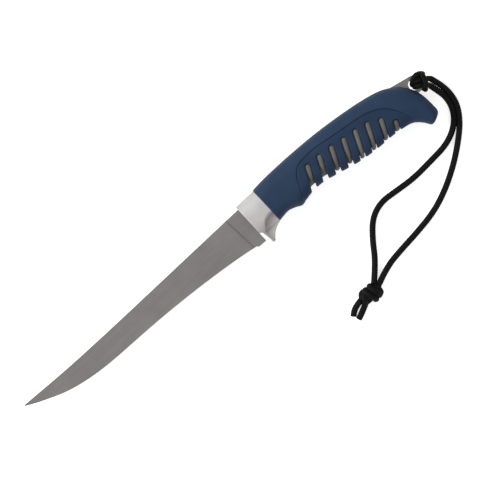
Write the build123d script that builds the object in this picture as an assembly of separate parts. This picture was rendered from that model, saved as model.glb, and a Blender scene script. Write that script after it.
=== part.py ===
from build123d import *
from math import cos, pi, radians, sin, sqrt, tan
import os

# A fillet knife with a moulded handle and a cord lanyard, lying on its side. Sizes are in millimetres.
# X runs from the guard's front face towards the butt, Y from the blade's spine line upwards,
# and Z through the thickness from the knife's middle plane. The last function moves every piece
# so that the origin lies on the table under the middle of the knife.

# Blade and tang, one piece of steel
blade_length = 162.0
blade_depth = 23.5
blade_thickness = 2.2
tip_thickness = 0.7
edge_thickness = 0.12
bevel_height = 0.9
bevel_thickness = 0.42
ricasso_length = 8.6
tang_thickness = 2.0
tang_drop = 3.6
tang_height = 12.0
lock_hole_diameter = 5.0
lanyard_hole_radius = 3.2
lanyard_rim = 2.0

# Guard
guard_length = 13.4
guard_rise = 1.9
guard_inset = 0.35
guard_edge_radius = 0.5
spur_drop = 27.0
spur_thickness = 9.0
spur_tip_thickness = 5.0
scoop_radius = 12.1
scoop_height = 6.0
slot_clearance = 0.05

# Handle
handle_length = 106.8
grip_height = 22.8
grip_thickness = 20.0
grip_crown = 0.7
butt_edge_radius = 2.2
wall = 2.6
seam_gap = 0.3
pad_slot_width = 3.4
rib_width = 2.7
rib_recess = 0.7
slot_angle = 65.0
hole_to_butt_back = 0.3

# Lanyard
cord_diameter = 3.2
hitch_angle = -27.0
hitch_clearance = 0.2
hitch_fold_slack = 0.5
hitch_stub = 2.4
knot_lobe_radius = 3.4
knot_settle = 0.4
knot_stub = 4.5

overrun = 5.0

# Along the blade: the place as a share of blade_length, spine and edge as shares of blade_depth
blade_shares = [
    (0.053, 0.0, -0.928), (0.113, -0.001, -0.86), (0.205, -0.003, -0.78), (0.297, -0.006, -0.717),
    (0.388, -0.009, -0.67), (0.48, -0.011, -0.635), (0.572, -0.012, -0.617), (0.645, -0.01, -0.603),
    (0.713, -0.006, -0.575), (0.774, 0.001, -0.523), (0.829, 0.012, -0.447), (0.878, 0.026, -0.346),
    (0.92, 0.04, -0.228), (0.957, 0.052, -0.118), (0.982, 0.06, -0.03), (1.0, 0.064, 0.032),
]
bevel_limit_share = 0.35
# Under the ricasso, as shares of ricasso_length and blade_depth: the edge ends in a small step
heel_shares = [(0.72, -0.945), (0.62, -0.99), (0.0, -1.0)]
# The tang narrows and bends down before the butt: shares of the way to the lanyard hole
tang_bend_share = 0.79
tang_bend_drop = 1.4
lock_hole_shares = (0.3, 0.6)
hole_drop_share = 0.7

# Lower line of the guard, as shares of guard_length and spur_drop
notch_shares = [(0.0, -0.66), (0.11, -0.69), (0.18, -0.93)]
spur_tip_shares = [(0.25, -1.0), (0.33, -0.968)]
guard_sweep_shares = [(0.48, -0.888), (0.67, -0.822), (1.0, -0.763)]
spur_root_share = 0.6
scoop_centre_shares = (0.89, -0.862)

# Across the handle: each section's upper and lower point, as shares of handle_length and
# grip_height, and its thickness as a share of grip_thickness
grip_shares = [
    (0.0, 0.1, 0.0, -0.9, 1.0), (0.037, 0.117, 0.033, -0.878, 1.0),
    (0.074, 0.126, 0.069, -0.869, 1.0), (0.111, 0.13, 0.106, -0.926, 1.0),
    (0.145, 0.13, 0.141, -1.0, 1.0), (0.185, 0.13, 0.18, -0.965, 1.0),
    (0.241, 0.126, 0.234, -0.928, 1.0), (0.315, 0.113, 0.306, -0.94, 1.0),
    (0.417, 0.087, 0.399, -1.043, 1.0), (0.538, 0.033, 0.513, -1.173, 1.0),
    (0.659, -0.043, 0.626, -1.243, 1.0), (0.77, -0.139, 0.733, -1.265, 1.0),
    (0.853, -0.256, 0.807, -1.312, 0.98), (0.918, -0.443, 0.852, -1.365, 0.95),
    (0.965, -0.695, 0.885, -1.478, 0.9), (0.993, -1.043, 0.909, -1.621, 0.85),
    (1.0, -1.6, 0.925, -1.765, 0.78),
]
# The butt's rounding is at most this share of its end's height
butt_rounding_share = 0.26
oval_power = 2.5
oval_points = 16
seam_steps = 24
# The seam round the ribbed panel, and the middle of each slot's upper end
seam_shares = [
    (0.158, -1.3), (0.176, -0.826), (0.199, -0.565), (0.216, -0.41), (0.241, -0.282),
    (0.278, -0.196), (0.334, -0.169), (0.399, -0.183), (0.492, -0.252), (0.584, -0.317),
    (0.677, -0.387), (0.742, -0.482), (0.798, -0.652), (0.839, -0.913), (0.861, -1.173),
    (0.868, -1.6),
]
slot_shares = [
    (0.296, -0.4), (0.375, -0.42), (0.454, -0.456), (0.529, -0.52),
    (0.603, -0.565), (0.675, -0.64), (0.742, -0.8), (0.791, -1.086),
]
# How far each rib's foot stays inside the belly, as a share of the wall
rib_foot_shares = [0.98, 0.98, 0.6, 0.6, 0.15, 0.15, 0.15, 0.15]
core_length_share = 0.89
# Along the handle, the place of the flank that the knife rests on
rest_share = 0.33

# The cord's routes, chosen by hand: X and Y from the lanyard hole in millimetres, and the
# height as a share of the way from lying on the table to the tang's middle plane
inner_leg_route = [
    (6.3, -6.5, 0.9), (7.3, -11.0, 0.6), (8.5, -17.4, 0.15), (6.6, -25.2, 0.0), (0.4, -32.2, 0.0),
    (-9.4, -36.6, 0.0), (-22.3, -37.5, 0.0), (-35.2, -38.7, 0.0), (-47.1, -37.3, 0.0),
    (-58.0, -35.6, 0.0), (-67.6, -38.9, 0.0), (-75.8, -47.6, 0.0), (-83.6, -58.6, 0.0),
    (-92.6, -66.7, 0.12),
]
outer_leg_route = [
    (9.0, -3.4, 0.9), (10.9, -9.0, 0.55), (12.1, -16.6, 0.12), (10.6, -24.9, 0.0),
    (4.9, -33.2, 0.0), (-3.8, -40.8, 0.0), (-14.6, -48.4, 0.0), (-27.2, -55.2, 0.0),
    (-40.1, -59.8, 0.0), (-54.0, -61.8, 0.0), (-67.9, -62.9, 0.0), (-80.3, -64.8, 0.0),
    (-90.2, -69.3, 0.12),
]
upper_tail_route = [(-104.0, -68.2, 0.12), (-107.6, -68.5, 0.0), (-110.8, -69.9, 0.0), (-113.1, -72.3, 0.0)]
lower_tail_route = [(-102.6, -71.8, 0.12), (-107.4, -74.1, 0.0), (-112.2, -75.8, 0.0)]
knot_lobes = [(-99.1, -67.0), (-93.4, -70.8), (-96.8, -71.5), (-96.4, -69.5)]
# A corner's arc takes this much of the shorter run beside it
run_share = 0.45
# Strands that lie against each other are drawn this much into each other; two fill the lanyard hole
overlap_share = 0.95
strand_share = 0.47

# Places that several pieces share
mid_height = grip_thickness / 2
hole_x = guard_length + handle_length - hole_to_butt_back
hole_y = -hole_drop_share * grip_height
tab_radius = lanyard_hole_radius + lanyard_rim
cord_radius = cord_diameter / 2


def grip_point(share_x, share_y):
    return (guard_length + share_x * handle_length, share_y * grip_height)


def blade_section(share, spine_share, edge_share):
    """The ground blade's section: flat flanks from the spine, then the sharpened bevel."""
    x, spine, edge = -share * blade_length, spine_share * blade_depth, edge_share * blade_depth
    along = (share - blade_shares[0][0]) / (1 - blade_shares[0][0])
    back = (blade_thickness + (tip_thickness - blade_thickness) * along) / 2
    shoulder = edge + min(bevel_height, (spine - edge) * bevel_limit_share)
    side = [(spine, back), (shoulder, bevel_thickness / 2), (edge, edge_thickness / 2)]
    corners = side + [(y, -z) for y, z in reversed(side)]
    return Wire.make_polygon([(x, y, z) for y, z in corners])


def make_blade():
    """The tang is a little thinner than the ricasso, whose shoulder seats on the guard all round."""
    ground = Solid.make_loft([blade_section(*s) for s in blade_shares])
    start_share, spine_share, edge_share = blade_shares[0]
    start = -start_share * blade_length
    heel = [(-x * ricasso_length, y * blade_depth) for x, y in heel_shares]
    back, edge = (start, spine_share * blade_depth), (start, edge_share * blade_depth)
    ricasso = Polygon(back, (0, 0), *reversed(heel), edge, align=None)
    bend = tang_bend_share * hole_x
    bent, foot = -tang_drop - tang_bend_drop, -tang_drop - tang_height
    strip = Polygon((0, -tang_drop), (bend, bent), (bend, foot), (0, foot), align=None)
    tab = Pos(hole_x, hole_y) * Circle(tab_radius)
    neck = make_hull(strip.edges().sort_by(Axis.X)[-1:] + tab.edges())
    tang = strip + neck - Pos(hole_x, hole_y) * Circle(lanyard_hole_radius)
    for share in lock_hole_shares:
        tang -= Pos(share * hole_x, -tang_drop - tang_height / 2) * Circle(lock_hole_diameter / 2)
    blade = extrude(ricasso, amount=blade_thickness / 2, both=True) + ground
    return blade + extrude(tang, amount=tang_thickness / 2, both=True)


def oval_wire(middle, tall, height, thickness):
    """A flattened oval, tall along the given direction and thick through Z."""
    points = []
    for k in range(oval_points):
        a = 2 * pi * k / oval_points
        along = abs(cos(a)) ** (2 / oval_power) * (1 if cos(a) >= 0 else -1)
        across = abs(sin(a)) ** (2 / oval_power) * (1 if sin(a) >= 0 else -1)
        points.append(middle + tall * (along * height / 2) + Vector(0, 0, across * thickness / 2))
    return Wire([Edge.make_spline(points, periodic=True)])


def grip_wire(shares, top_inset, foot_inset, side_inset):
    top_x, top_y, low_x, low_y, thick_share = shares
    top, low = Vector(*grip_point(top_x, top_y)), Vector(*grip_point(low_x, low_y))
    tall = (top - low).normalized()
    top, low = top - tall * top_inset, low + tall * foot_inset
    thickness = (grip_thickness + grip_crown) * thick_share - 2 * side_inset
    return oval_wire((top + low) / 2, tall, (top - low).length, thickness)


def slab(thickness):
    """Everything within a thickness about the middle plane."""
    return Box(4 * (blade_length + handle_length), 4 * spur_drop + 4 * grip_height, thickness)


def grip_form(top_inset=0.0, foot_inset=0.0, side_inset=0.0):
    """The handle's form that far inside its outer surface."""
    return Solid.make_loft([grip_wire(s, top_inset, foot_inset, side_inset) for s in grip_shares])


def outer_grip():
    """The handle's outer form, rounded at the butt and flattened on its flanks."""
    form = grip_form()
    end = form.faces().filter_by(GeomType.PLANE).sort_by(Axis.X)[-1]
    top_x, top_y, low_x, low_y, _ = grip_shares[-1]
    tall = (Vector(*grip_point(top_x, top_y)) - Vector(*grip_point(low_x, low_y))).length
    return fillet(end.edges(), min(butt_edge_radius, butt_rounding_share * tall)) & slab(grip_thickness)


def guard_outline():
    start = [(x * guard_length, y * spur_drop) for x, y in notch_shares]
    tip, sweep_start = [(x * guard_length, y * spur_drop) for x, y in spur_tip_shares]
    sweep_rest = [(x * guard_length, y * spur_drop) for x, y in guard_sweep_shares]
    above = guard_rise + overrun
    front = Polyline(sweep_rest[-1], (guard_length, above), (0, above), *start)
    arc = ThreePointArc(start[-1], tip, sweep_start)
    sweep_line = Spline(sweep_start, *sweep_rest)
    return make_face([*front.edges(), *arc.edges(), *sweep_line.edges()])


def make_guard():
    """The barrel carries the handle's front section forward; the spur hangs below it."""
    foot = grip_shares[0][3] * grip_height
    middle, tall = Vector(0, (guard_rise + foot) / 2), Vector(0, 1, 0)
    section = Face(oval_wire(middle, tall, guard_rise - foot, grip_thickness + grip_crown - 2 * guard_inset))
    barrel = extrude(section, amount=guard_length, dir=(1, 0, 0))
    barrel = fillet(barrel.faces().sort_by(Axis.X)[0].edges(), guard_edge_radius)
    root, tip = -spur_root_share * spur_drop, -spur_drop - overrun
    tongue = Polygon(
        (root, spur_thickness / 2), (tip, spur_tip_thickness / 2),
        (tip, -spur_tip_thickness / 2), (root, -spur_thickness / 2), align=None,
    )
    guard = barrel + extrude(Plane.YZ * tongue, amount=guard_length)
    guard &= extrude(guard_outline(), amount=grip_thickness, both=True)
    scoop_x, scoop_y = scoop_centre_shares[0] * guard_length, scoop_centre_shares[1] * spur_drop
    for side in (1, -1):
        guard -= Pos(scoop_x, scoop_y, side * (mid_height + scoop_height)) * Sphere(scoop_radius)
    tall, wide = tang_height + 2 * slot_clearance, tang_thickness + 2 * slot_clearance
    slot = Box(guard_length + 2 * overrun, tall, wide)
    return guard - Pos(guard_length / 2, -tang_drop - tang_height / 2) * slot


def stadium(shares, width):
    """A round-ended slot that starts at its upper end and runs down past the belly."""
    x, y = grip_point(*shares)
    shape = Pos(-grip_height / 2, 0) * SlotCenterToCenter(grip_height, width)
    return extrude(Pos(x, y) * Rot(0, 0, slot_angle) * shape, amount=grip_thickness, both=True)


def inward(seam, along):
    """A point of the panel's own edge, which stands off the seam by the gap."""
    ahead = seam % along
    return seam @ along + Vector(ahead.Y, -ahead.X) * seam_gap


def seam_area(edge):
    """Everything inside the seam, through both flanks and below the belly."""
    area = make_face([*edge.edges(), *Line(edge @ 1, edge @ 0).edges()])
    return extrude(area, amount=grip_thickness, both=True)


def make_handle(blade):
    """The grey core moulded round the tang, the blue shell over it and the ribbed panel let into it."""
    core_end = guard_length + core_length_share * handle_length
    core = grip_form(wall, wall, wall) & Pos(core_end / 2 - overrun, 0) * Box(
        core_end + 2 * overrun, 4 * spur_drop + 4 * grip_height, grip_thickness
    )
    layer = outer_grip() - core
    seam = Spline(*[grip_point(*s) for s in seam_shares])
    inner_seam = Spline(*[inward(seam, k / seam_steps) for k in range(seam_steps + 1)])
    shell = layer - seam_area(seam) - blade
    pad = layer & seam_area(inner_seam)
    rib_forms = {}
    for place, foot_share in zip(slot_shares, rib_foot_shares):
        pad -= stadium(place, pad_slot_width)
        if foot_share not in rib_forms:
            rib_forms[foot_share] = grip_form(wall, foot_share * wall, rib_recess)
        core += rib_forms[foot_share] & stadium(place, rib_width)
    return core - blade, shell, pad


def on_route(points):
    """A cord's route in the knife's own frame."""
    table = -mid_height + cord_radius
    return [Vector(hole_x + x, hole_y + y, table * (1 - lift)) for x, y, lift in points]


def rod(start, end, radius):
    """A straight round piece from one point to another."""
    return extrude(Plane(start, z_dir=end - start) * Circle(radius), amount=(end - start).length)


def cord(name, points):
    """A tube along the route, each corner rounded as widely as its two runs allow."""
    route, radii = on_route(points), []
    for before, corner, after in zip(route, route[1:], route[2:]):
        turn = radians((corner - before).get_angle(after - corner))
        radii.append(run_share * min((corner - before).length, (after - corner).length) / tan(turn / 2))
    line = FilletPolyline(*route, radius=radii)
    tube = sweep(Plane(line @ 0, z_dir=line % 0) * Circle(cord_radius), path=line)
    share = tube.volume / (pi * cord_radius**2 * line.length)
    print(name, "length", round(line.length, 1), "volume share", round(share, 4))
    print(name, "radii", [round(r, 1) for r in radii])
    return tube


def stub(points, forward):
    """The short stretch inside a knot that a tube meets face to face."""
    first, second = on_route(points)[:2]
    back = (first - second).normalized() * forward
    return rod(first, first + back, cord_radius)


def make_hitch():
    """Two turns round the tab's rim through the lanyard hole, and the bight that crosses them."""
    strand = strand_share * (lanyard_hole_radius - hitch_clearance)
    apart = strand * overlap_share
    inside = sqrt((lanyard_hole_radius - hitch_clearance - strand) ** 2 - apart**2)
    outside = tab_radius + hitch_clearance + strand
    level = tang_thickness / 2 + hitch_clearance + strand
    fold = strand + hitch_fold_slack
    hitch = None
    for side in (apart, -apart):
        ends = [(inside, level), (outside, level), (outside, -level), (inside, -level)]
        turn = FilletPolyline(*[(x, side, z) for x, z in ends], radius=fold, close=True)
        ring = sweep(Plane(turn @ 0, z_dir=turn % 0) * Circle(strand), path=turn)
        hitch = ring if hitch is None else hitch + ring
    arm = apart + 2 * strand * overlap_share
    bar = sqrt((outside + hitch_clearance / 2) ** 2 - arm**2)
    top, foot = level + 2 * strand * overlap_share, -strand / 2
    ends = [(-arm, foot), (-arm, top), (arm, top), (arm, foot)]
    bight = FilletPolyline(*[(bar, y, z) for y, z in ends], radius=fold)
    hitch += sweep(Plane(bight @ 0, z_dir=bight % 0) * Circle(strand), path=bight)
    for side in (arm, -arm):
        hitch += Pos(bar, side, foot) * Sphere(strand)
    hitch = Pos(hole_x, hole_y) * Rot(0, 0, hitch_angle) * hitch
    return hitch + stub(inner_leg_route, hitch_stub) + stub(outer_leg_route, hitch_stub)


def make_knot():
    """The overhand knot of both strands, as rounded lobes that have settled on the table."""
    middle = -mid_height + knot_lobe_radius - knot_settle
    knot = None
    for x, y in knot_lobes:
        lobe = Pos(hole_x + x, hole_y + y, middle) * Sphere(knot_lobe_radius)
        knot = lobe if knot is None else knot + lobe
    knot &= slab(grip_thickness)
    for route in (inner_leg_route[::-1], outer_leg_route[::-1], upper_tail_route, lower_tail_route):
        knot += stub(route, knot_stub)
    return knot


def main():
    os.makedirs("parts", exist_ok=True)
    blade = make_blade()
    core, shell, pad = make_handle(blade)
    handle = {"handle_core": core, "handle_shell": shell, "grip_pad": pad}
    knife = {"blade": blade, "guard": make_guard()} | handle
    lanyard = {
        "lanyard_hitch": make_hitch(),
        "lanyard_leg_inner": cord("inner leg", inner_leg_route),
        "lanyard_leg_outer": cord("outer leg", outer_leg_route),
        "lanyard_knot": make_knot(),
        "lanyard_tail_upper": cord("upper tail", upper_tail_route),
        "lanyard_tail_lower": cord("lower tail", lower_tail_route),
    }
    box = Compound(children=[Part(p.wrapped) for p in knife.values()]).bounding_box()
    middle = box.center()
    place = Pos(-middle.X, -middle.Y, mid_height)
    for name, piece in (knife | lanyard).items():
        export_step(place * piece, f"parts/{name}.step")
    print("knife box", box.size)
    print("lanyard hole", place * Pos(hole_x, hole_y))
    print("ricasso face", place * Pos(-ricasso_length / 2, -blade_depth / 2, blade_thickness / 2))
    rest_x = guard_length + rest_share * handle_length
    print("flank rest", place * Pos(rest_x, -grip_height / 2, -mid_height))


main()
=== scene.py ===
from math import cos, pi, radians, sin

import bpy
import numpy as np
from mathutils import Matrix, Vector


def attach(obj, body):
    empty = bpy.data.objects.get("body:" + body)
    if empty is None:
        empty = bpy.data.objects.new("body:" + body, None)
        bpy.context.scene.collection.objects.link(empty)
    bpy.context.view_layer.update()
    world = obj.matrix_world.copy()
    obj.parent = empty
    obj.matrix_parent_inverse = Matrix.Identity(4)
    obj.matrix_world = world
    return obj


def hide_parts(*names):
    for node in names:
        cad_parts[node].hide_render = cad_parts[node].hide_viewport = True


# A fillet knife on a white table, seen from straight above. Tables are in millimetres in the
# knife's own frame: X from the guard's front face to the butt, Y up from the spine line, and Z
# from the middle plane. knife_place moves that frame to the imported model's frame.
mm = 0.001
knife_place = Vector((18.45, 18.233, 10.0))
mid_height = 10.0
handle_start = 13.4
hole_x, hole_y = 119.9, -15.96

# The camera looks straight down with a long lens
photo_width = 268.7
photo_centre = (-10.6, -13.2)
camera_turn = -43.0
camera_lens = 400.0
camera_sensor = 36.0
camera_reach = 20.0

# Studio: places and sizes in metres, powers in watts, and how bright the white round the knife is
key_lamp = (-0.7, 1.0, 1.05), 0.8, 25
fill_lamp = (-0.1, -1.1, 1.2), 0.8, 4
studio_light = 0.4
seen_light = 1.0
floor_reach = 3.0
floor_colour = (0.8, 0.8, 0.8, 1)
floor_glow = 0.7

# Cord: X and Y from the lanyard hole, and the height as a share of the way up to the tang
inner_leg_route = [
    (6.3, -6.5, 0.9), (7.5, -11.0, 0.6), (8.9, -17.3, 0.15), (7.1, -25.4, 0.0), (0.8, -32.7, 0.0),
    (-9.2, -37.1, 0.0), (-22.3, -37.8, 0.0), (-35.2, -38.4, 0.0), (-47.1, -37.0, 0.0),
    (-58.0, -35.6, 0.0), (-67.6, -38.9, 0.0), (-75.8, -47.6, 0.0), (-83.6, -58.6, 0.0),
    (-92.6, -66.7, 0.12),
]
outer_leg_route = [
    (9.0, -3.4, 0.9), (10.9, -9.0, 0.55), (12.1, -16.6, 0.12), (10.6, -24.9, 0.0),
    (4.9, -33.2, 0.0), (-3.8, -40.8, 0.0), (-14.6, -48.4, 0.0), (-27.2, -55.2, 0.0),
    (-40.1, -59.8, 0.0), (-54.0, -61.8, 0.0), (-67.9, -62.9, 0.0), (-80.5, -64.5, 0.0),
    (-90.6, -68.7, 0.12),
]
upper_tail_route = [
    (-104.0, -68.2, 0.12), (-107.6, -68.8, 0.0), (-111.0, -70.1, 0.0), (-113.3, -72.2, 0.0),
]
lower_tail_route = [(-102.8, -71.1, 0.12), (-107.5, -73.6, 0.0), (-112.3, -75.3, 0.0)]
braid_strands = 6
braid_pitch = 8.4
braid_relief = 0.16
strand_flatness = 0.7
weave_depth = 0.55
# The strands stand a little proud of the cord's own size
braid_radius = 1.8
cord_sides = 36
cord_step = 0.2
end_rounding = 0.5
end_width_share = 0.6

# The hitch's strands, turned to the tab: outwards from the hole, sideways, and up from the middle plane
hitch_angle = -27.0
hitch_radius = 1.6
hitch_strands = {
    "hitch_ring_upper": [
        (9.6, 1.0, -0.8), (8.2, 1.2, 0.4), (6.4, 1.45, 1.9), (4.2, 1.5, 2.8), (1.0, 1.4, 2.8),
        (-0.6, 1.1, 0.9), (-0.6, 1.1, -1.0), (1.4, 1.7, -2.6), (4.2, 2.8, -2.9), (5.4, 4.2, -2.0),
    ],
    "hitch_ring_lower": [
        (8.6, -2.9, -0.8), (7.6, -2.2, 0.6), (6.2, -1.7, 1.9), (4.0, -1.5, 2.8), (1.5, -1.4, 2.7),
        (0.2, -1.3, 0.9), (0.2, -1.3, -1.0), (1.9, -1.8, -2.6), (4.2, -2.8, -2.9),
        (5.4, -4.0, -2.0),
    ],
    "hitch_turn": [
        (5.0, 4.2, -2.4), (6.0, 4.6, -0.4), (5.2, 4.9, 1.9), (3.4, 5.0, 3.0), (1.4, 4.2, 3.2),
        (-0.1, 2.6, 3.2), (-0.9, 0.5, 1.6), (-0.8, -0.1, -0.6), (0.8, 0.2, -2.4),
    ],
    "hitch_bight": [
        (5.4, 3.4, -2.6), (6.4, 4.4, -1.2), (6.2, 4.5, 2.2), (5.8, 3.6, 4.6), (6.4, 1.6, 5.2),
        (6.4, -1.6, 5.0), (5.6, -3.4, 4.2), (5.3, -4.3, 1.8), (5.6, -4.2, -0.6), (5.2, -3.8, -2.4),
    ],
}

# The knot's strands: X and Y from the lanyard hole, and the height of the strand's middle
knot_radius = 1.8
knot_strands = {
    "knot_band_right": [
        (-94.6, -66.6, 1.7), (-95.0, -65.5, 3.4), (-95.6, -66.4, 6.0), (-95.2, -69.0, 7.4),
        (-94.4, -71.6, 6.6), (-94.0, -73.4, 4.4), (-94.6, -73.0, 1.7),
    ],
    "knot_band_left": [
        (-97.8, -66.4, 1.7), (-98.3, -65.4, 3.6), (-98.9, -66.8, 6.4), (-98.2, -69.8, 7.5),
        (-97.4, -72.4, 6.4), (-97.0, -73.9, 4.2), (-97.6, -73.2, 1.7),
    ],
    "knot_inner_through": [
        (-92.6, -66.7, 2.0), (-95.0, -67.4, 3.2), (-98.0, -67.4, 3.8), (-101.2, -67.6, 3.2),
        (-104.0, -68.2, 2.0),
    ],
    "knot_outer_through": [
        (-90.6, -68.7, 2.0), (-92.6, -69.9, 3.2), (-96.0, -71.2, 3.8), (-99.6, -71.4, 3.0),
        (-102.8, -71.1, 2.0),
    ],
    "knot_loop_left": [
        (-97.0, -66.6, 1.7), (-99.6, -65.6, 1.8), (-101.8, -66.0, 3.0), (-102.2, -67.8, 4.8),
        (-100.4, -69.6, 5.6), (-97.4, -69.8, 4.4),
    ],
    "knot_loop_right": [
        (-95.2, -72.6, 1.7), (-93.4, -73.2, 2.0), (-92.2, -71.8, 3.6), (-92.6, -69.6, 5.2),
        (-94.4, -68.4, 5.2), (-96.6, -68.4, 4.2),
    ],
    "knot_lead_lower": [
        (-98.6, -66.0, 4.0), (-100.0, -67.0, 5.6), (-101.8, -69.2, 5.8), (-103.4, -71.2, 3.6),
        (-105.0, -72.4, 1.8),
    ],
}

# Handle
handle_length = 106.8
grip_height = 22.8
grip_thickness = 20.0
grip_crown = 0.7
oval_power = 2.5
core_length_share = 0.93
wall = 2.6
core_inset = 1.7
core_sides = 64
core_ring_step = 6
front_inset = 0.6
front_rings = 5
shell_thickness = 1.8
panel_thickness = 1.8
rib_thickness = 1.9
# Near the butt's tight rounding the skins are thinner, so that their inner sides don't fold through
thin_end_length = 9.0
thin_end_share = 0.25
pad_slot_width = 3.4
slot_angle = 65.0
rib_recess = 0.7
butt_edge_radius = 2.2
front_edge_radius = 0.4
slot_edge_radius = 0.7
seam_half_width = 0.55
seam_depth = 0.5
bead_drop = 0.8
flank_softness = 0.6
# The flanks fall in towards the butt by this much, over this length
butt_fall = 1.3
butt_fall_length = 18.0
even_fall_length = 6.0
# Where the surface is cut into finer rows along its roundings and grooves
butt_cut_angles = (0, 15, 30, 45, 60, 75)
front_cut_shares = (0.1, 0.4, 1.0)
groove_cut_shares = (0.2, 0.5, 1.0)
slot_cut_shares = (0.07, 0.22, 0.5, 1.0)
bead_cuts = (-0.1, -0.3, -0.6, -1.0)
# The sections: upper and lower points as shares of the handle's length and height, and the thickness
grip_shares = [
    (0.0, 0.1, 0.0, -0.9, 1.0), (0.037, 0.117, 0.033, -0.878, 1.0),
    (0.074, 0.126, 0.069, -0.869, 1.0), (0.111, 0.13, 0.106, -0.926, 1.0),
    (0.145, 0.13, 0.141, -1.0, 1.0), (0.185, 0.13, 0.18, -0.965, 1.0),
    (0.241, 0.126, 0.234, -0.928, 1.0), (0.315, 0.113, 0.306, -0.94, 1.0),
    (0.417, 0.087, 0.399, -1.043, 1.0), (0.538, 0.033, 0.513, -1.173, 1.0),
    (0.659, -0.043, 0.626, -1.243, 1.0), (0.77, -0.139, 0.733, -1.265, 1.0),
    (0.853, -0.256, 0.807, -1.312, 0.98), (0.918, -0.443, 0.852, -1.365, 0.95),
    (0.965, -0.695, 0.885, -1.478, 0.9), (0.993, -1.043, 0.909, -1.621, 0.85),
    (1.0, -1.6, 0.925, -1.765, 0.78),
]
# The seam round the panel, and the upper ends of its slots, as shares of the same length and height
seam_shares = [
    (0.158, -1.3), (0.176, -0.826), (0.199, -0.565), (0.216, -0.41), (0.241, -0.282),
    (0.278, -0.196), (0.334, -0.169), (0.399, -0.183), (0.492, -0.252), (0.584, -0.317),
    (0.677, -0.387), (0.742, -0.482), (0.798, -0.652), (0.839, -0.913), (0.861, -1.173),
    (0.868, -1.6),
]
# The groove along the seam fades towards both its ends: distance from an end, and the depth's share
seam_fade_shares = [(0.0, 0.1), (11.0, 0.3), (20.0, 1.0)]
slot_shares = [
    (0.296, -0.4), (0.375, -0.42), (0.454, -0.456), (0.529, -0.52),
    (0.603, -0.565), (0.675, -0.64), (0.742, -0.8), (0.791, -1.086),
]
# How far each rib's foot stays inside the belly, as a share of the wall
rib_foot_shares = [0.98, 0.98, 0.6, 0.6, 0.15, 0.15, 0.15, 0.15]
# Half the width of a rib, at distances from its upper end
rib_half_widths = [(0.0, 1.5), (14.0, 1.2)]
# The scoop's middle and the reach of the painted shade round its rim; the grind's plunge line, with its
# angle, and the reach of the painted shade along it
scoop_centre = (11.9, -23.3)
scoop_shade_reach = 12.0
plunge_line = ((-8.85, -4.0), 94.0)
plunge_shade_reach = 0.9
casting_voxel = 0.2
casting_smoothing = 8
casting_blend = 0.5
skin_step = 0.45
skin_sides = 136
curve_steps = 24
# A cut moves the points that are this near to its level on to it
snap = 0.02

# Looks: each pair of tones or roughnesses is spread over this part of a noise
noise_low, noise_high = 0.3, 0.7
blade_tones = (0.152, 0.145, 0.14), (0.182, 0.174, 0.168)
# Painted shade along the grind's plunge line, darkest right at the line
plunge_shade_tones = [(0.2, (0.7, 0.7, 0.7)), (1.0, (1, 1, 1))]
streak_tones = [(0.35, (0.93, 0.93, 0.93)), (0.65, (1.03, 1.03, 1.03))]
blade_roughness = (0.42, 0.56)
guard_tones = (0.41, 0.4, 0.39), (0.47, 0.46, 0.45)
# Painted shade in the scoop: a little darker at its middle, darkest in a band just inside its rim
scoop_shade_tones = [
    (0.0, (0.92, 0.91, 0.9)), (0.45, (0.97, 0.96, 0.94)), (0.66, (0.74, 0.72, 0.71)),
    (0.76, (0.58, 0.57, 0.56)), (0.81, (1, 1, 1)),
]
guard_roughness = (0.6, 0.7)
cord_tones = (0.0015, 0.0015, 0.0015), (0.005, 0.005, 0.0045)
cord_roughness = (0.55, 0.75)
cord_gloss = 0.08
# The mouldings: dark and light tone, roughness and gloss
shell_look = (0.0155, 0.033, 0.068), (0.0195, 0.0395, 0.081), (0.53, 0.65), 0.12
pad_look = (0.014, 0.029, 0.061), (0.018, 0.036, 0.075), (0.6, 0.72), 0.12
core_look = (0.085, 0.082, 0.08), (0.125, 0.12, 0.115), (0.55, 0.67), 0.3
# Heights of the fine grain
blade_relief = 0.04
guard_relief = 0.03
moulded_relief = 0.07
cord_relief = 0.04


def in_frame(x, y, z):
    """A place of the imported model's frame, from one of the knife's own."""
    return (Vector((x, y, z)) + knife_place) * mm


def on_route(points):
    """A route's places. It lies on the table where its height share is 0."""
    table = -mid_height + braid_radius
    return [in_frame(hole_x + x, hole_y + y, table * (1 - lift)) for x, y, lift in points]


def route_line(name, points):
    """The cord's centreline, read from a NURBS spline through its route."""
    curve = bpy.data.curves.new(name, "CURVE")
    curve.dimensions = "3D"
    spline = curve.splines.new("NURBS")
    spline.points.add(len(points) - 1)
    for point, place in zip(spline.points, points):
        point.co = (*place, 1.0)
    spline.order_u = 3
    spline.use_endpoint_u = True
    run = sum((b - a).length for a, b in zip(points, points[1:])) / (len(points) - 1)
    spline.resolution_u = max(6, round(run / (cord_step * mm)))
    holder = bpy.data.objects.new(name, curve)
    mesh = bpy.data.meshes.new_from_object(holder)
    line = [v.co.copy() for v in mesh.vertices]
    bpy.data.objects.remove(holder)
    bpy.data.meshes.remove(mesh)
    return line


def braid_height(turn, along):
    """Height of a diamond braid, 0 in its gaps and 1 on its strands."""
    u = braid_strands * (turn + along / braid_pitch)
    v = braid_strands * (turn - along / braid_pitch)
    heights = []
    for strand, across, phase in ((u, v, 0.0), (v, u, 1.0)):
        ridge = abs(sin(pi * strand)) ** strand_flatness
        wave = 0.5 + 0.5 * cos(pi * (across + (int(strand // 1) % 2) + phase))
        heights.append(ridge * (1 - weave_depth + weave_depth * wave))
    return max(heights)


def new_piece(name, vertices, faces, material, body):
    """A smooth mesh that rides on a body."""
    mesh = bpy.data.meshes.new(name)
    mesh.from_pydata([tuple(v) for v in vertices], [], faces)
    mesh.materials.append(material)
    mesh.shade_smooth()
    piece = bpy.data.objects.new(name, mesh)
    bpy.context.scene.collection.objects.link(piece)
    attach(piece, body)
    return piece


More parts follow.
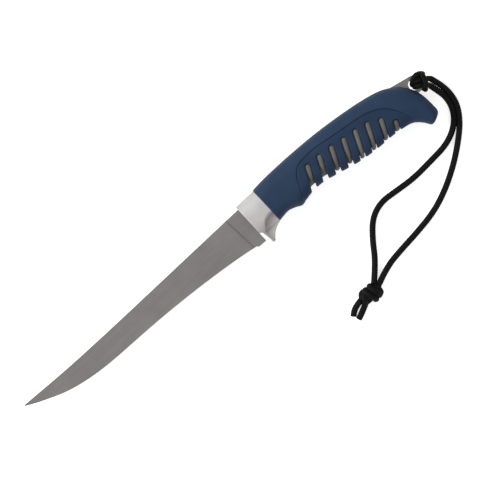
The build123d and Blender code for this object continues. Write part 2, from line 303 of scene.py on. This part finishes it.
def braided_tube(name, points, material, radius=braid_radius):
    """A cord along a NURBS line: a mesh tube whose surface rises and falls as a braid."""
    centres = route_line(name, points)
    before, after = [centres[0], *centres], [*centres[1:], centres[-1]]
    tangents = [(b - a).normalized() for a, b in zip(before, after)]
    along = [0.0]
    for start, end in zip(centres, centres[1:]):
        along.append(along[-1] + (end - start).length / mm)
    side = tangents[0].orthogonal().normalized()
    vertices, faces = [], []
    for centre, forward, done in zip(centres, tangents, along):
        side = (side - forward * side.dot(forward)).normalized()
        up = forward.cross(side)
        from_end = min(done, along[-1] - done, end_rounding)
        rounding = (1 - (1 - from_end / end_rounding) ** 2) ** 0.5
        pinch = end_width_share + (1 - end_width_share) * rounding
        for j in range(cord_sides):
            turn = j / cord_sides
            r = (radius - braid_relief * (1 - braid_height(turn, done))) * pinch
            vertices.append(centre + (side * cos(2 * pi * turn) + up * sin(2 * pi * turn)) * r * mm)
    for k in range(len(centres) - 1):
        for j in range(cord_sides):
            n = (j + 1) % cord_sides
            near, far = k * cord_sides, (k + 1) * cord_sides
            faces.append((near + j, far + j, far + n, near + n))
    faces.append(tuple(range(cord_sides)))
    faces.append(tuple(len(vertices) - 1 - j for j in range(cord_sides)))
    piece = new_piece(name, vertices, faces, material, "lanyard")
    return piece, centres, along[-1] * mm


class Nodes:
    """A material's node tree, with short ways to add and join nodes."""

    def __init__(self, name):
        self.material = bpy.data.materials.new(name)
        self.material.use_nodes = True
        self.tree = self.material.node_tree
        self.shader = self.tree.nodes["Principled BSDF"]

    def add(self, kind, **values):
        node = self.tree.nodes.new(kind)
        for key, value in values.items():
            if key in node.inputs:
                node.inputs[key].default_value = value
            else:
                setattr(node, key, value)
        return node

    def join(self, source, target):
        self.tree.links.new(source, target)

    def place(self, stretch=(1, 1, 1)):
        """Object coordinates, stretched."""
        coordinates = self.add("ShaderNodeTexCoord")
        mapping = self.add("ShaderNodeMapping")
        mapping.inputs["Scale"].default_value = stretch
        self.join(coordinates.outputs["Object"], mapping.inputs["Vector"])
        return mapping.outputs["Vector"]

    def noise(self, scale, detail=4.0, roughness=0.55, stretch=(1, 1, 1)):
        node = self.add("ShaderNodeTexNoise", Scale=scale, Detail=detail, Roughness=roughness)
        self.join(self.place(stretch), node.inputs["Vector"])
        return node.outputs["Fac"]

    def ramp(self, factor, stops):
        node = self.add("ShaderNodeValToRGB")
        elements = node.color_ramp.elements
        while len(elements) < len(stops):
            elements.new(0.5)
        for element, (position, colour) in zip(elements, stops):
            element.position = position
            element.color = (*colour, 1.0)
        self.join(factor, node.inputs["Fac"])
        return node.outputs["Color"]

    def tones(self, factor, dark, light):
        return self.ramp(factor, [(noise_low, dark), (noise_high, light)])

    def multiply(self, colour, other):
        node = self.add("ShaderNodeMix", data_type="RGBA", blend_type="MULTIPLY")
        node.inputs["Factor"].default_value = 1.0
        self.join(colour, node.inputs[6])
        self.join(other, node.inputs[7])
        return node.outputs[2]

    def distance_in_plan(self, centre):
        """How far a place is from an upright line through a point of the plan."""
        away = self.add("ShaderNodeVectorMath", operation="DISTANCE")
        flat = self.place((1, 1, 0))
        self.join(flat, away.inputs[0])
        x, y, _ = in_frame(*centre, 0)
        away.inputs[1].default_value = (x, y, 0)
        return away.outputs["Value"]

    def distance_from_line(self, point, angle):
        """How far a place is from a line of the plan, through a point and at an angle to X."""
        across = Vector((-sin(radians(angle)), cos(radians(angle)), 0))
        project = self.add("ShaderNodeVectorMath", operation="DOT_PRODUCT")
        self.join(self.place(), project.inputs[0])
        project.inputs[1].default_value = across
        offset = self.add("ShaderNodeMath", operation="SUBTRACT")
        self.join(project.outputs["Value"], offset.inputs[0])
        offset.inputs[1].default_value = across.dot(in_frame(*point, 0))
        size = self.add("ShaderNodeMath", operation="ABSOLUTE")
        self.join(offset.outputs[0], size.inputs[0])
        return size.outputs[0]

    def spread(self, factor, low, high, start=noise_low, end=noise_high):
        node = self.add("ShaderNodeMapRange")
        node.inputs["From Min"].default_value = start
        node.inputs["From Max"].default_value = end
        node.inputs["To Min"].default_value = low
        node.inputs["To Max"].default_value = high
        self.join(factor, node.inputs["Value"])
        return node.outputs["Result"]

    def near(self, distance, reach):
        """0 where a distance is nothing, and 1 from that reach on."""
        return self.spread(distance, 0.0, 1.0, start=0.0, end=reach * mm)

    def colour(self, source):
        self.join(source, self.shader.inputs["Base Color"])

    def rough(self, factor, low, high):
        self.join(self.spread(factor, low, high), self.shader.inputs["Roughness"])

    def bump(self, factor, relief):
        node = self.add("ShaderNodeBump", Strength=1.0, Distance=relief * mm)
        self.join(factor, node.inputs["Height"])
        self.join(node.outputs["Normal"], self.shader.inputs["Normal"])

    def set(self, **values):
        for key, value in values.items():
            self.shader.inputs[key.replace("_", " ")].default_value = value


def blade_material():
    """Grey coated steel, cloudy, with streaks along the blade and painted shade along the line where its
    grind starts.
    """
    m = Nodes("blade_coating")
    m.set(Metallic=0.5)
    coating = m.tones(m.noise(scale=60.0, detail=3.0), *blade_tones)
    # Painted shade: a narrow band along the plunge line is darkened
    from_line = m.near(m.distance_from_line(*plunge_line), plunge_shade_reach)
    plunge_shaded = m.multiply(coating, m.ramp(from_line, plunge_shade_tones))
    streaks = m.noise(scale=1300.0, detail=4.0, roughness=0.6, stretch=(0.03, 1, 1))
    m.colour(m.multiply(plunge_shaded, m.ramp(streaks, streak_tones)))
    grain = m.noise(scale=2600.0, detail=5.0, roughness=0.65, stretch=(0.35, 1, 1))
    m.rough(grain, *blade_roughness)
    m.bump(streaks, blade_relief)
    return m.material


def guard_material():
    """Satin cast metal, with painted shade round the rim of the scoop."""
    m = Nodes("cast_satin")
    m.set(Metallic=0.25)
    polished = m.tones(m.noise(scale=140.0, detail=4.0), *guard_tones)
    # Painted shade: darkened by the distance from the scoop's middle, most just inside its rim
    from_middle = m.near(m.distance_in_plan(scoop_centre), scoop_shade_reach)
    m.colour(m.multiply(polished, m.ramp(from_middle, scoop_shade_tones)))
    grain = m.noise(scale=1800.0, detail=5.0, roughness=0.6, stretch=(0.5, 1, 1))
    m.rough(grain, *guard_roughness)
    m.bump(grain, guard_relief)
    return m.material


def moulded_material(name, dark, light, roughness, gloss):
    """Moulded plastic or rubber with a fine grain."""
    m = Nodes(name)
    m.shader.inputs["Specular IOR Level"].default_value = gloss
    m.colour(m.tones(m.noise(scale=90.0, detail=3.0), dark, light))
    grain = m.noise(scale=2400.0, detail=6.0, roughness=0.6)
    m.rough(grain, *roughness)
    m.bump(grain, moulded_relief)
    return m.material


def cord_material():
    """Black nylon fibres. The braid itself is in the cord's mesh."""
    m = Nodes("cord_braid")
    m.shader.inputs["Specular IOR Level"].default_value = cord_gloss
    fibre = m.noise(scale=5200.0, detail=4.0, roughness=0.7)
    m.colour(m.tones(fibre, *cord_tones))
    m.rough(fibre, *cord_roughness)
    m.bump(fibre, cord_relief)
    return m.material


def dress(node, material):
    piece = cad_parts[node]
    piece.data.materials.clear()
    piece.data.materials.append(material)


def seen_share(tree):
    """1 for a ray that the camera, a gloss or a glass sees, otherwise 0."""
    path = tree.nodes.new("ShaderNodeLightPath")
    result = path.outputs["Is Camera Ray"]
    for name in ("Is Glossy Ray", "Is Transmission Ray"):
        most = tree.nodes.new("ShaderNodeMath")
        most.operation = "MAXIMUM"
        tree.links.new(result, most.inputs[0])
        tree.links.new(path.outputs[name], most.inputs[1])
        result = most.outputs[0]
    return result


def make_floor():
    """A white floor. It glows where the camera or a reflection sees it, but doesn't light the knife."""
    mesh = bpy.data.meshes.new("floor")
    corners = [(x * floor_reach, y * floor_reach, 0) for x, y in ((-1, -1), (1, -1), (1, 1), (-1, 1))]
    mesh.from_pydata(corners, [], [(0, 1, 2, 3)])
    floor = bpy.data.objects.new("floor", mesh)
    bpy.context.scene.collection.objects.link(floor)
    m = Nodes("floor_white")
    m.set(Roughness=0.9)
    m.shader.inputs["Base Color"].default_value = floor_colour
    m.shader.inputs["Emission Color"].default_value = (1, 1, 1, 1)
    scale = m.add("ShaderNodeMath", operation="MULTIPLY")
    scale.inputs[1].default_value = floor_glow
    m.join(seen_share(m.tree), scale.inputs[0])
    m.join(scale.outputs[0], m.shader.inputs["Emission Strength"])
    mesh.materials.append(m.material)


def make_world():
    """A white world that is brighter where it is seen than where it lights the knife."""
    world = bpy.data.worlds.new("studio")
    bpy.context.scene.world = world
    world.use_nodes = True
    background = world.node_tree.nodes["Background"]
    background.inputs["Color"].default_value = (1, 1, 1, 1)
    lift = world.node_tree.nodes.new("ShaderNodeMapRange")
    lift.inputs["To Min"].default_value = studio_light
    lift.inputs["To Max"].default_value = seen_light
    world.node_tree.links.new(seen_share(world.node_tree), lift.inputs["Value"])
    world.node_tree.links.new(lift.outputs["Result"], background.inputs["Strength"])


def make_lamp(name, place, size, power):
    """A round soft lamp that points at the origin."""
    lamp = bpy.data.lights.new(name, "AREA")
    lamp.shape = "DISK"
    lamp.size = size
    lamp.energy = power
    holder = bpy.data.objects.new(name, lamp)
    bpy.context.scene.collection.objects.link(holder)
    holder.location = place
    holder.rotation_euler = (-Vector(place)).to_track_quat("-Z", "Y").to_euler()


def make_camera():
    data = bpy.data.cameras.new("camera")
    data.lens = camera_lens
    data.sensor_width = camera_sensor
    data.clip_end = camera_reach
    camera = bpy.data.objects.new("camera", data)
    bpy.context.scene.collection.objects.link(camera)
    away = photo_width * camera_lens / camera_sensor
    camera.location = in_frame(*photo_centre, away)
    camera.rotation_euler = (0, 0, radians(camera_turn))
    bpy.context.scene.camera = camera


# A surface's points hold a place, a normal and then these distances; a normal's last part is its
# share across the handle's thickness.
FLANK_NORMAL = 5
SEAM, ALONG, SLOT, BUTT, FRONT = range(6, 11)


def table_points(shares):
    """Places of the knife's own plane, from shares of the handle's length and height."""
    return np.array([(handle_start + x * handle_length, y * grip_height) for x, y in shares])


def smooth_rows(table, steps):
    """A smooth curve through the table's rows, with that many steps between two of them."""
    table = np.array(table, float)
    ends = np.vstack([2 * table[0] - table[1], table, 2 * table[-1] - table[-2]])
    rows = []
    for before, start, end, after in zip(ends, ends[1:], ends[2:], ends[3:]):
        for t in np.arange(steps) / steps:
            bend = 2 * before - 5 * start + 4 * end - after
            twist = 3 * (start - end) + after - before
            rows.append(start + 0.5 * t * (end - before + t * (bend + t * twist)))
    return np.vstack([*rows, table[-1]])


def even_rows(rows, step):
    """The same curve with rows about a step apart, by the faster of its upper and lower lines."""
    size = np.array([handle_length, grip_height])
    moves = [np.linalg.norm(np.diff(rows[:, k:k + 2] * size, axis=0), axis=1) for k in (0, 2)]
    along = np.concatenate([[0], np.cumsum(np.maximum(*moves))])
    targets = np.linspace(0, along[-1], round(along[-1] / step) + 1)
    return np.stack([np.interp(targets, along, column) for column in rows.T], axis=1)


def grip_points(sections, sides, top_inset=0.0, foot_inset=0.0, side_inset=0.0):
    """Rings of points round the handle, that far inside its outer form."""
    top, low = table_points(sections[:, 0:2]), table_points(sections[:, 2:4])
    tall = (top - low) / np.linalg.norm(top - low, axis=1, keepdims=True)
    top, low = top - tall * top_inset, low + tall * foot_inset
    half_height = np.linalg.norm(top - low, axis=1) / 2
    half_thickness = (grip_thickness + grip_crown) / 2 * sections[:, 4] - side_inset
    angle = 2 * pi * np.arange(sides) / sides
    along = np.sign(np.cos(angle)) * np.abs(np.cos(angle)) ** (2 / oval_power)
    across = np.sign(np.sin(angle)) * np.abs(np.sin(angle)) ** (2 / oval_power)
    flat = (top + low)[:, None] / 2 + tall[:, None] * (along * half_height[:, None])[..., None]
    z = across * half_thickness[:, None]
    room = grip_thickness / 2 - np.abs(z)
    z = np.sign(z) * (grip_thickness / 2 - (room + np.sqrt(room**2 + flank_softness**2)) / 2)
    return np.concatenate([flat, z[..., None]], axis=2)


def ring_normals(points):
    """The outward direction at each point of the rings."""
    ahead = np.gradient(points, axis=0)
    around = np.roll(points, -1, axis=1) - np.roll(points, 1, axis=1)
    normals = np.cross(around, ahead)
    return normals / np.linalg.norm(normals, axis=2, keepdims=True)


def nearest(flat, line):
    """Distance from each point to a line, and how far along it the nearest place is."""
    runs = np.diff(line, axis=0)
    lengths = np.linalg.norm(runs, axis=1)
    starts = np.concatenate([[0], np.cumsum(lengths)])
    best = np.full(len(flat), np.inf)
    along = np.zeros(len(flat))
    for start, run, length, before in zip(line, runs, lengths, starts):
        t = np.clip((flat - start) @ run / length**2, 0, 1)
        gap = np.linalg.norm(flat - start - t[:, None] * run, axis=1)
        closer = gap < best
        best[closer], along[closer] = gap[closer], before + t[closer] * length
    return best, along


def inside_of(flat, line):
    """1 inside the area that the line closes, otherwise -1."""
    inside = np.zeros(len(flat), bool)
    x, y = flat.T
    for (ax, ay), (bx, by) in zip(line, np.roll(line, -1, axis=0)):
        crosses = (ay > y) != (by > y)
        if ay != by:
            inside ^= crosses & (x < ax + (y - ay) / (by - ay) * (bx - ax))
    return np.where(inside, 1.0, -1.0)


def slot_lines():
    """The middle lines of the panel's slots, from their upper ends down."""
    way = -np.array([cos(radians(slot_angle)), sin(radians(slot_angle))]) * grip_height
    return [np.array([start, start + way]) for start in table_points(slot_shares)]


def split(points, faces, column, level):
    """Cuts the faces along a level of one column, and gives those below it and those above."""
    cuts, below, above = {}, [], []
    for point in points:
        if abs(point[column] - level) < snap:
            point[column] = level

    def crossing(a, b):
        a, b = min(a, b), max(a, b)
        low, high = points[a][column], points[b][column]
        if level in (low, high):
            return a if low == level else b
        if (a, b) not in cuts:
            t = (level - low) / (high - low)
            cuts[a, b] = len(points)
            points.append([p + (q - p) * t for p, q in zip(points[a], points[b])])
        return cuts[a, b]

    for face in faces:
        over = [points[v][column] >= level for v in face]
        if all(over) or not any(over):
            (above if over[0] else below).append(face)
            continue
        halves = ([], [])
        for k, v in enumerate(face):
            after = (k + 1) % len(face)
            halves[over[k]].append(v)
            if over[k] != over[after]:
                cut = crossing(v, face[after])
                halves[0].append(cut)
                halves[1].append(cut)
        for half, kept in zip(halves, (below, above)):
            half = [v for k, v in enumerate(half) if v != half[k - 1]]
            if len(half) > 2:
                kept.append(half)
    return below, above


def cut_levels(points, faces, column, levels):
    """Cuts the faces along each level of a column, and keeps all of them."""
    for level in levels:
        below, above = split(points, faces, column, level)
        faces = below + above
    return faces


def round_in(distance, radius):
    """How far a rounded edge falls back, at a distance from that edge."""
    near = np.clip(radius - distance, 0, radius)
    return radius - np.sqrt(radius**2 - near**2)


def ring_faces(rings, sides):
    """The faces between neighbouring rings of points."""
    return [[start + j, start + (j + 1) % sides, start + sides + (j + 1) % sides, start + sides + j]
            for start in range(0, (rings - 1) * sides, sides) for j in range(sides)]


def skin(sections, sides, lines=None, width=pad_slot_width, **insets):
    """A handle surface as points and faces. A point holds its place, its normal and its distances."""
    seam_line = table_points(smooth_rows(seam_shares, curve_steps // 2))
    rings = grip_points(sections, sides, **insets)
    normals = ring_normals(rings)
    flat = rings[..., :2].reshape(-1, 2)
    gap, along = nearest(flat, seam_line)
    seam = gap * inside_of(flat, seam_line)
    slot = np.min([nearest(flat, line)[0] for line in lines or slot_lines()], axis=0) - width / 2
    top, low = table_points(sections[-1:, 0:2])[0], table_points(sections[-1:, 2:4])[0]
    ahead = np.array([low[1] - top[1], top[0] - low[0]]) / np.linalg.norm(top - low)
    butt = np.abs((flat - low) @ ahead)
    # Near the butt the rings are narrow: there they shrink evenly, so that a fall can't fold them
    reach = rings - rings.mean(axis=1, keepdims=True)
    reach[..., :2] /= np.linalg.norm(reach[..., :2], axis=2).max(axis=1)[:, None, None]
    reach[..., 2] /= np.abs(reach[..., 2]).max(axis=1)[:, None]
    evenness = np.clip(1 - butt.reshape(len(sections), sides, 1) / even_fall_length, 0, 1)
    normals += (reach - normals) * evenness
    front = flat[:, 0] - handle_start
    distances = [column[:, None] for column in (seam, along, slot, butt, front)]
    points = np.concatenate([rings.reshape(-1, 3), normals.reshape(-1, 3), *distances], axis=1)
    return points.tolist(), ring_faces(len(sections), sides)


def skin_piece(name, points, faces, drop, thickness, material):
    """A closed piece from a surface: its points fall inwards by the drop, and it is thickened inwards."""
    points = np.array(points)
    places = points[:, :3] - points[:, 3:6] * drop(points)[:, None]
    used = sorted({v for face in faces for v in face})
    place_of = {v: k for k, v in enumerate(used)}
    vertices = [in_frame(*places[v]) for v in used]
    faces = [[place_of[v] for v in face] for face in faces]
    piece = new_piece(name, vertices, faces, material, "knife")
    fullness = piece.vertex_groups.new(name="fullness")
    for k, share in enumerate(np.clip(points[used, BUTT] / thin_end_length, 0, 1)):
        fullness.add([k], share, "REPLACE")
    solid = piece.modifiers.new("thickness", "SOLIDIFY")
    solid.thickness = thickness * mm
    solid.offset = -1
    solid.vertex_group = fullness.name
    solid.thickness_vertex_group = thin_end_share
    apply_modifiers(piece)
    return piece


def apply_modifiers(piece):
    """Gives the piece the mesh that its modifiers make."""
    bpy.context.view_layer.update()
    shaped = bpy.data.meshes.new_from_object(piece.evaluated_get(bpy.context.evaluated_depsgraph_get()))
    piece.modifiers.clear()
    piece.data = shaped
    shaped.shade_smooth()


def make_lanyard(material):
    """The hitch, the knot and both tails as strands, and a cord for each leg."""
    turn = radians(hitch_angle)
    hitch = []
    for name, points in hitch_strands.items():
        placed = [
            in_frame(hole_x + x * cos(turn) - y * sin(turn), hole_y + x * sin(turn) + y * cos(turn), z)
            for x, y, z in points
        ]
        hitch.append(braided_tube(name, placed, material, hitch_radius)[0])
    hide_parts("lanyard_hitch")
    knot = []
    for name, points in knot_strands.items():
        placed = [in_frame(hole_x + x, hole_y + y, z - mid_height) for x, y, z in points]
        knot.append(braided_tube(name, placed, material, knot_radius)[0])
    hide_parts("lanyard_knot")
    for name, route in (("tail_upper", upper_tail_route), ("tail_lower", lower_tail_route)):
        tail = braided_tube("cord_" + name, on_route(route), material)[0]
        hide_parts("lanyard_" + name)
        knot.append(tail)
    legs = {"leg_inner": (inner_leg_route, hitch), "leg_outer": (outer_leg_route, knot)}
    for name, (route, extras) in legs.items():
        points = on_route(route)
        leg, line, length = braided_tube("cord_" + name, points, material)
        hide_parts("lanyard_" + name)


def make_guard(material):
    """The casting, with its edges softened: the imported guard's surface laid anew and smoothed."""
    guard = bpy.data.objects.new("guard_casting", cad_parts["guard"].data.copy())
    bpy.context.scene.collection.objects.link(guard)
    relaid = guard.modifiers.new("relaid", "REMESH")
    relaid.mode = "VOXEL"
    relaid.voxel_size = casting_voxel * mm
    smoothed = guard.modifiers.new("smoothed", "SMOOTH")
    smoothed.factor = casting_blend
    smoothed.iterations = casting_smoothing
    apply_modifiers(guard)
    guard.data.materials.clear()
    guard.data.materials.append(material)
    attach(guard, "knife")
    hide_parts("guard")


def make_handle(shell_material, pad_material, core_material):
    """The shell and the panel, cut from one surface along the seam, and the core inside them."""
    sections = even_rows(smooth_rows(grip_shares, curve_steps), skin_step)
    points, faces = skin(sections, skin_sides)
    butt_levels = [butt_edge_radius * (1 - sin(radians(angle))) for angle in butt_cut_angles]
    front_levels = [front_edge_radius * share for share in front_cut_shares]
    faces = cut_levels(points, faces, BUTT, butt_levels)
    faces = cut_levels(points, faces, FRONT, front_levels)
    last = (len(sections) - 1) * skin_sides
    cap = [[last + j, last + j + 1, last + (skin_sides - j - 1), last + (skin_sides - j) % skin_sides]
           for j in range(skin_sides // 2)]
    cap = [[v for k, v in enumerate(face) if v != face[k - 1]] for face in cap]
    shell_faces, pad_faces = split(points, faces, SEAM, 0.0)
    groove_levels = [seam_half_width * share for share in groove_cut_shares]
    shell_faces = cut_levels(points, shell_faces, SEAM, [-level for level in groove_levels])
    pad_faces = cut_levels(points, pad_faces, SEAM, groove_levels)
    pad_faces = split(points, pad_faces, SLOT, 0.0)[1]
    slot_levels = [slot_edge_radius * share for share in slot_cut_shares]
    pad_faces = cut_levels(points, pad_faces, SLOT, slot_levels)

    def outer_drop(p):
        from_end = np.minimum(p[:, ALONG], p[:, ALONG].max() - p[:, ALONG])
        fade = np.interp(from_end, *zip(*seam_fade_shares))
        groove = seam_depth * fade * np.clip(1 - np.abs(p[:, SEAM]) / seam_half_width, 0, 1) ** 2
        near_butt = np.clip(1 - p[:, BUTT] / butt_fall_length, 0, 1)
        fall = butt_fall * near_butt**2 * np.abs(p[:, FLANK_NORMAL])
        edges = round_in(p[:, BUTT], butt_edge_radius) + round_in(p[:, FRONT], front_edge_radius)
        return groove + fall + edges

    def panel_drop(p):
        return outer_drop(p) + round_in(np.maximum(p[:, SLOT], 0), slot_edge_radius)

    shell_faces += cap
    shell = skin_piece("grip_shell", points, shell_faces, outer_drop, shell_thickness, shell_material)
    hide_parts("handle_shell")
    pad = skin_piece("grip_panel", points, pad_faces, panel_drop, panel_thickness, pad_material)
    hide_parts("grip_pad")
    rings = grip_points(sections[:front_rings], skin_sides, front_inset, front_inset, front_inset)
    front = ringed_piece("grip_front", rings, shell_material)
    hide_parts("handle_shell")
    make_core(sections, core_material)


def ringed_piece(name, rings, material):
    """A closed piece through rings of points, with flat ends."""
    sides = rings.shape[1]
    last = (len(rings) - 1) * sides
    ends = [list(range(sides - 1, -1, -1)), list(range(last, last + sides))]
    vertices = [in_frame(*point) for point in rings.reshape(-1, 3)]
    piece = new_piece(name, vertices, ring_faces(len(rings), sides) + ends, material, "knife")
    for end in piece.data.polygons[-2:]:
        end.use_smooth = False
    return piece


def make_core(sections, material):
    """The core's body, and a rounded rib in each slot of the panel."""
    inner = sections[sections[:, 0] < core_length_share][::core_ring_step]
    rings = grip_points(inner, core_sides, core_inset, wall, core_inset)
    body = ringed_piece("grip_core", rings, material)
    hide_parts("handle_core")

    def bead(p):
        half = rib_half_widths[0][1]
        return bead_drop * (1 - np.sqrt(1 - np.clip(1 + p[:, SLOT] / half, 0, 1) ** 2))

    for number, (line, foot_share) in enumerate(zip(slot_lines(), rib_foot_shares), 1):
        insets = {"top_inset": wall, "foot_inset": foot_share * wall, "side_inset": rib_recess}
        points, faces = skin(sections, skin_sides, [line], 0.0, **insets)
        for point in points:
            from_top = np.linalg.norm(np.array(point[:2]) - line[0])
            point[SLOT] -= np.interp(from_top, *zip(*rib_half_widths))
        near = [face for face in faces if min(points[v][SLOT] for v in face) < 0]
        near = split(points, near, SLOT, 0.0)[0]
        near = cut_levels(points, near, SLOT, bead_cuts)
        rib = skin_piece(f"grip_rib_{number}", points, near, bead, rib_thickness, material)
        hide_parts("handle_core")


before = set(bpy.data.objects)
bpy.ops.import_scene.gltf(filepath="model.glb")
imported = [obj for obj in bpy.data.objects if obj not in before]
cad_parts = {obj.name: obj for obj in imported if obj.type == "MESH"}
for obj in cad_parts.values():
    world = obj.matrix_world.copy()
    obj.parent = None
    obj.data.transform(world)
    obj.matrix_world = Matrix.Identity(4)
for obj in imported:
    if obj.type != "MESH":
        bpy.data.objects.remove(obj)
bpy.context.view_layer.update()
bpy.context.scene.view_settings.view_transform = "Standard"
make_camera()
make_world()
make_floor()
make_lamp("key", *key_lamp)
make_lamp("fill", *fill_lamp)
make_lanyard(cord_material())
dress("blade", blade_material())
make_guard(guard_material())
make_handle(
    moulded_material("shell_plastic", *shell_look),
    moulded_material("pad_rubber", *pad_look),
    moulded_material("core_rubber", *core_look),
)
